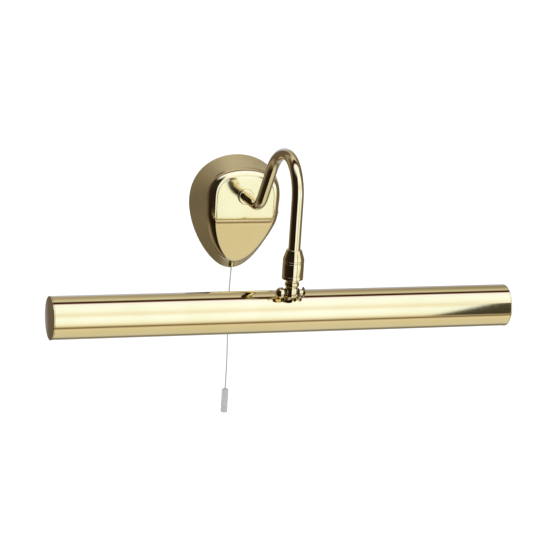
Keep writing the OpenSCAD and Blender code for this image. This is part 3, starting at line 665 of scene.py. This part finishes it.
def box_rings(inset, angles, edge_steps, face_steps):
    """Rings from the rim at the wall, up the side, round the edge and in across the face."""
    rims = [outline_point(WALL_OUTLINE, a, inset) for a in angles]
    rim = [Vector((point.x, 0, point.y)) for point in rims]
    foot = [edge_point(a, 0, inset) for a in angles]
    rings = [[p.lerp(q, i / SIDE_STEPS) for p, q in zip(rim, foot)] for i in range(SIDE_STEPS)]
    for i in range(edge_steps + 1):
        rings.append([edge_point(a, math.pi / 2 * i / edge_steps, inset) for a in angles])
    last = rings[-1]
    for i in range(1, face_steps):
        ring = []
        for point in last:
            flat = Vector((point.x, point.z)).lerp(FACE_HEART, i / face_steps)
            ring.append(Vector((flat.x, inset - face_depth(flat.y), flat.y)))
        rings.append(ring)
    return rings


def make_wall_cover():
    """Outer and inner skin joined at the rim, with the sides marked as satin."""
    segments = 192
    angles = [2 * math.pi * (i + 0.5) / segments for i in range(segments)]
    points = []
    faces = []
    starts = []
    for inset in (0.0, BOX_WALL):
        rings = box_rings(inset, angles, 12, 24)
        outer = inset == 0.0
        first = len(points)
        starts.append(first)
        for ring in rings:
            points.extend(ring)
        heart_index = len(points)
        points.append(Vector((FACE_HEART.x, inset - face_depth(FACE_HEART.y), FACE_HEART.y)))
        for i in range(len(rings) - 1):
            for s in range(segments):
                n = (s + 1) % segments
                low = first + i * segments
                face = (low + s, low + n, low + segments + n, low + segments + s)
                faces.append(face if outer else face[::-1])
        last = first + (len(rings) - 1) * segments
        for s in range(segments):
            n = (s + 1) % segments
            face = (last + s, last + n, heart_index)
            faces.append(face if outer else face[::-1])
    for s in range(segments):
        n = (s + 1) % segments
        faces.append((starts[1] + s, starts[1] + n, starts[0] + n, starts[0] + s))
    piece = build("wall_cover_shell", points, faces, ["wall_cover"], sharp=60)
    piece.data.materials[0] = COVER_BRASS
    satin = piece.data.attributes.new("satin", "FLOAT", "POINT")
    side_points = SIDE_STEPS * segments
    for start in starts:
        for i in range(side_points):
            satin.data[start + i].value = 1.0


make_wall_cover()


# ---- Arm ----

ARM_R = 5 * MM
ARM_BORE = 4 * MM
ROOT_Z = middle("arm_collar").z
REAR_R = 48.5 * MM
FRONT_R = 30.6 * MM
ROOT_R = 24 * MM
RISE = math.radians(55.5)
ARM_LOW, ARM_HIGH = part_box("arm_tube")
TOP_Z = ARM_HIGH.z - ARM_R
TAIL_Y = ARM_HIGH.y
FOOT_Z = ARM_LOW.z


def arc(centre_y, centre_z, radius, start, end, steps):
    """Points of an arc seen from the light's right-hand side, in degrees from the room's side."""
    points = []
    for i in range(steps + 1):
        a = math.radians(start + (end - start) * i / steps)
        points.append(Vector((0, centre_y - radius * math.cos(a), centre_z + radius * math.sin(a))))
    return points


def make_arm():
    arch_y = LEG_Y + FRONT_R
    rear_z = TOP_Z - REAR_R
    bend_z = ROOT_Z + ROOT_R
    drop = rear_z - bend_z
    run = (ROOT_R + REAR_R + drop * math.cos(RISE)) / math.sin(RISE)
    bend_y = arch_y + run
    rise = math.degrees(RISE)
    leg_top = TOP_Z - FRONT_R
    line = [Vector((0, TAIL_Y, ROOT_Z)), Vector((0, -BOX_DEPTH - 1 * MM, ROOT_Z))]
    line += arc(bend_y, bend_z, ROOT_R, -90, -90 + rise, 24)
    line += arc(arch_y, rear_z, REAR_R, 90 + rise, 90, 36)
    line += arc(arch_y, leg_top, FRONT_R, 90, 0, 36)[1:]
    line += [Vector((0, LEG_Y, leg_top * (1 - i / 6) + FOOT_Z * i / 6)) for i in range(1, 7)]
    points, faces = sweep(line, ARM_R, ARM_BORE)
    build("arm_swan_neck", points, faces, ["arm_tube"])


make_arm()


def make_collar():
    low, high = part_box("arm_collar")
    radius = (high.x - low.x) / 2
    height = high.y - low.y
    place = Matrix.Translation((0, high.y, ROOT_Z)) @ Matrix.Rotation(math.pi / 2, 4, "X")
    profile = [(ARM_R, 0), (radius, 0), (radius, height), (ARM_R, height)]
    soft = rounded(profile, 1.6 * MM, 8)
    points, faces = lathe(soft + [Vector((ARM_R, 0))], place)
    build("arm_root_collar", points, faces, ["arm_collar"])


make_collar()


# ---- Swivel barrel and stem ----

def scaled(profile):
    return [(r * MM, z * MM) for r, z in profile]


def make_barrel():
    cap = scaled([
        (5, -1.5), (5, 6.6), (6.3, 6.6), (8.9, -1.3), (8.9, -2.45), (8.55, -2.7), (8.9, -2.95),
        (8.9, -3.7), (7, -3.7), (7, -8), (4.6, -8), (4.6, -1.5), (5, -1.5),
    ])
    points, faces = lathe(rounded(cap, 0.35 * MM, 4), LEG)
    build("swivel_barrel_cap", points, faces, ["swivel_cap"])
    socket = scaled([
        (7, -3.72), (8.9, -3.72), (8.9, -4.45), (8.55, -4.7), (8.9, -4.95), (8.9, -15.35),
        (8.55, -15.6), (8.9, -15.85), (8.9, -18.2), (8.3, -18.7), (4.05, -18.7), (4.05, -16.2),
        (7, -16.2), (7, -3.72),
    ])
    points, faces = lathe(rounded(socket, 0.3 * MM, 4), LEG)
    build("swivel_barrel_socket", points, faces, ["swivel_socket"])


make_barrel()


# ---- Stem and saddle, about the pin ----

PIN_R = 2 * MM
FLEX_BORE_R = 2.2 * MM
POST_R = 5.6 * MM
STEM_BORE_MM = 2.2
NECK_MM = 4.75
BEAD_ROUND_MM = 2.6
BEAD_MIDDLE_MM = 3.5
BEAD_Z_MM = -22.9
TIP_MM = 5.6
TIP_Z_MM = -30
EAR_IN = 6.3 * MM
EAR_OUT = 10.4 * MM
EAR_OUT_LEFT = 7.8 * MM
EAR_R = 5.2 * MM
HEAD_SEAT_R = 4.6 * MM


def disc(place, radius, height, count=96):
    """Points of a circle about place's Z axis at a height along it."""
    ring = []
    for i in range(count):
        a = 2 * math.pi * i / count
        ring.append(place @ Vector((radius * math.cos(a), radius * math.sin(a), height)))
    return ring


def rod(name, place, radius, start, end):
    return hull_mesh(name, disc(place, radius, start) + disc(place, radius, end))


def box_mesh(name, place, low, high):
    corners = [
        place @ Vector((x, y, z)) for x in (low[0], high[0]) for y in (low[1], high[1])
        for z in (low[2], high[2])
    ]
    return hull_mesh(name, corners)


def bead_profile():
    """Half of the stem's outline as (radius, height) in mm, from its top down to its tip."""
    profile = [(STEM_BORE_MM, -9.5), (4, -9.5), (4, -18.78), (NECK_MM, -18.78), (NECK_MM, -20.5)]
    for i in range(1, 24):
        a = math.radians(90 - i * 7.5)
        r = BEAD_MIDDLE_MM + BEAD_ROUND_MM * math.cos(a)
        if r > NECK_MM:
            profile.append((r, BEAD_Z_MM + BEAD_ROUND_MM * math.sin(a)))
    profile += [(NECK_MM, -25.5), (NECK_MM, -25.9), (5.2, -25.9), (5.5, -26.0), (TIP_MM, -26.3)]
    for i in range(30):
        a = math.radians(i * 3)
        r = TIP_MM * math.cos(a)
        if r > STEM_BORE_MM:
            profile.append((r, TIP_Z_MM - TIP_MM * math.sin(a)))
    profile.append((STEM_BORE_MM, -35.1))
    return scaled(profile)


def make_stem():
    """Turned stem, with a slot through its tip for the flex and a hole for the pins."""
    points, faces = lathe(bead_profile(), LEG, closed=True)
    pin = Matrix.Translation(PIN) @ ALONG_X
    slot = box_mesh(
        "stem_slot", Matrix.Translation(PIN), (-FLEX_BORE_R, -3.8 * MM, -8 * MM),
        (FLEX_BORE_R, 8 * MM, 2 * MM),
    )
    hole = rod("stem_hole", pin, PIN_R + 0.05 * MM, -8 * MM, 8 * MM)
    mesh = carve("swivel_stem_turned", mesh_of("stem_body", points, faces), cuts=(slot, hole))
    add_piece("swivel_stem_turned", mesh, ["swivel_stem"])


def ring_of_oval(z, half_w, half_l):
    """Points of an ellipse across the shade's upright, at a height above the shade's axis."""
    ring = []
    for i in range(120):
        a = math.radians(i * 3)
        ring.append(SHADE @ Vector((half_w * math.cos(a), half_l * math.sin(a), z)))
    return ring


def make_saddle():
    """Oval base on the shade with an ear on each side of the post."""
    over_pin = SHADE @ Matrix.Translation((0, 0, PIN_TO_SHADE)) @ ALONG_X
    rings = ring_of_oval(14 * MM, 14.4 * MM, 10 * MM)
    for turn in range(0, 91, 15):
        a = math.radians(turn)
        out = 1.8 * math.cos(a)
        rings += ring_of_oval((20.1 + 1.8 * math.sin(a)) * MM, (10.8 + out) * MM, (6.8 + out) * MM)
    base = hull_mesh("saddle_base", rings)
    lean = REST_TILT + math.radians(42)
    far = 16 * MM
    far_end = SHADE @ Matrix.Translation(
        (0, far * math.sin(lean), PIN_TO_SHADE + far * math.cos(lean))
    ) @ ALONG_X
    room = []
    for place, radius in ((over_pin, POST_R + 0.2 * MM), (far_end, POST_R + 0.6 * MM)):
        room += disc(place, radius, -EAR_IN) + disc(place, radius, EAR_IN)
    ears = []
    for side in (-1, 1):
        inner, outer = sorted((side * EAR_IN, side * (EAR_OUT if side > 0 else EAR_OUT_LEFT)))
        ears.append(rod("saddle_ear", over_pin, EAR_R, inner, outer))
        ears.append(box_mesh(
            "saddle_ear_foot", SHADE, (inner, -EAR_R, SHADE_R - 2 * MM),
            (outer, EAR_R, PIN_TO_SHADE),
        ))
    cuts = [
        rod("saddle_seat", SHADE @ ALONG_X, SHADE_R, -30 * MM, 30 * MM),
        hull_mesh("post_room", room),
        rod("saddle_pin_hole", over_pin, PIN_R, -12 * MM, 12 * MM),
        rod("saddle_flex_hole", SHADE, FLEX_BORE_R, 10 * MM, 30 * MM),
        rod("saddle_seat_left", over_pin, HEAD_SEAT_R, -EAR_OUT_LEFT - 9 * MM, -EAR_OUT_LEFT),
        rod("saddle_seat_right", over_pin, HEAD_SEAT_R, EAR_OUT, EAR_OUT + 6 * MM),
    ]
    mesh = carve("saddle_yoke", base, ears, cuts)
    piece = add_piece("saddle_yoke", mesh, ["saddle"])
    soften(piece, 0.35 * MM)


# ---- Shade ----

CAP_T = 1.2 * MM
SHADE_WALL = 0.8 * MM
OPENING = math.radians(120)
SHADE_STEPS = 160
LIP_STEPS = 4


def lip_point(a, t, sign):
    """A point of the rounded long edge at angle a of the section, t round the lip."""
    r = SHADE_R - SHADE_WALL / 2 + SHADE_WALL / 2 * math.cos(t)
    lean = sign * SHADE_WALL / 2 * math.sin(t)
    return (r * math.cos(a) - lean * math.sin(a), r * math.sin(a) + lean * math.cos(a))


def shade_section():
    """Outline of the tube across its axis: outer arc, lip, inner arc, lip."""
    start = -math.pi / 2 + OPENING / 2
    rolled = 2 * math.pi - OPENING
    inner_r = SHADE_R - SHADE_WALL
    section = []
    for i in range(SHADE_STEPS + 1):
        a = start + rolled * i / SHADE_STEPS
        section.append((SHADE_R * math.cos(a), SHADE_R * math.sin(a)))
    for i in range(1, LIP_STEPS):
        section.append(lip_point(start + rolled, math.pi * i / LIP_STEPS, 1))
    for i in range(SHADE_STEPS + 1):
        a = start + rolled * (1 - i / SHADE_STEPS)
        section.append((inner_r * math.cos(a), inner_r * math.sin(a)))
    for i in range(1, LIP_STEPS):
        section.append(lip_point(start, math.pi * (1 - i / LIP_STEPS), -1))
    return section


def make_shade():
    """Rolled tube with a light opening, its two long edges rounded."""
    half = SHADE_HALF - CAP_T
    section = shade_section()
    count = len(section)
    points = []
    for x in (-half, -half * 0.5, 0, half * 0.5, half):
        points += [SHADE @ Vector((x, y, z)) for y, z in section]
    faces = []
    for row in range(4):
        for i in range(count):
            n = (i + 1) % count
            low = row * count
            faces.append((low + i, low + n, low + count + n, low + count + i))
    inner_end = 2 * SHADE_STEPS + LIP_STEPS
    for row, flip in ((0, True), (4, False)):
        base = row * count
        for i in range(SHADE_STEPS):
            inner = base + inner_end - i
            face = (base + i, base + i + 1, inner - 1, inner)
            faces.append(face[::-1] if flip else face)
    build("shade_rolled_tube", points, faces, ["shade_tube"])


make_shade()


def make_end_cap(name, node, side):
    """Cap with a hollow spigot inside the tube; side is 1 at the right end and -1 at the left."""
    bore = SHADE_R - SHADE_WALL
    spigot = 5 * MM
    inner = bore - 0.8 * MM
    turn = ALONG_X if side > 0 else Matrix.Rotation(-math.pi / 2, 4, "Y")
    place = SHADE @ turn @ Matrix.Translation((0, 0, SHADE_HALF - CAP_T))
    profile = rounded([
        (0, 0), (inner, 0), (inner, -spigot), (bore, -spigot), (bore, 0),
        (SHADE_R, 0), (SHADE_R, CAP_T), (0, CAP_T),
    ], 0.45 * MM, 5)
    points, faces = lathe(profile, place, 160)
    build(name, points, faces, [node])


make_end_cap("left_end_cap", "end_cap_left", -1)
make_end_cap("right_end_cap", "end_cap_right", 1)
make_stem()
make_saddle()


# ---- Pull cord and its pull ----

# The cord's line in mm, from the switch slider down to the pull
CORD_ROUTE = [
    (-1.5, -6, -36), (-1.5, -6, -44), (-1.5, -6, -52), (-1.6, -6, -58), (-1.9, -6, -66),
    (-2.1, -6, -74), (-2.1, -6, -82), (-2, -6, -90), (-1.8, -6, -98), (-1.5, -6, -106),
    (-1.2, -6, -114), (-0.9, -6, -122), (-0.7, -6, -130), (-0.5, -6, -138), (-0.4, -6, -146),
    (-0.4, -6, -154), (-0.4, -6, -161), (-0.4, -6, -167),
]
CORD_D = 1.2 * MM


def make_cord():
    points = [Vector(point) * MM for point in CORD_ROUTE]
    curve = bpy.data.curves.new("pull_cord_line", "CURVE")
    curve.dimensions = "3D"
    curve.bevel_depth = CORD_D / 2
    curve.bevel_resolution = 5
    curve.use_fill_caps = True
    spline = curve.splines.new("BEZIER")
    spline.bezier_points.add(len(points) - 1)
    for knot, point in zip(spline.bezier_points, points):
        knot.co = point
        knot.handle_left_type = "AUTO"
        knot.handle_right_type = "AUTO"
    curve.materials.append(MATERIALS["cord_braid"])
    cord = bpy.data.objects.new("pull_cord_braided", curve)
    bpy.context.scene.collection.objects.link(cord)
    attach(cord, "pull")
    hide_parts("pull_cord")


make_cord()
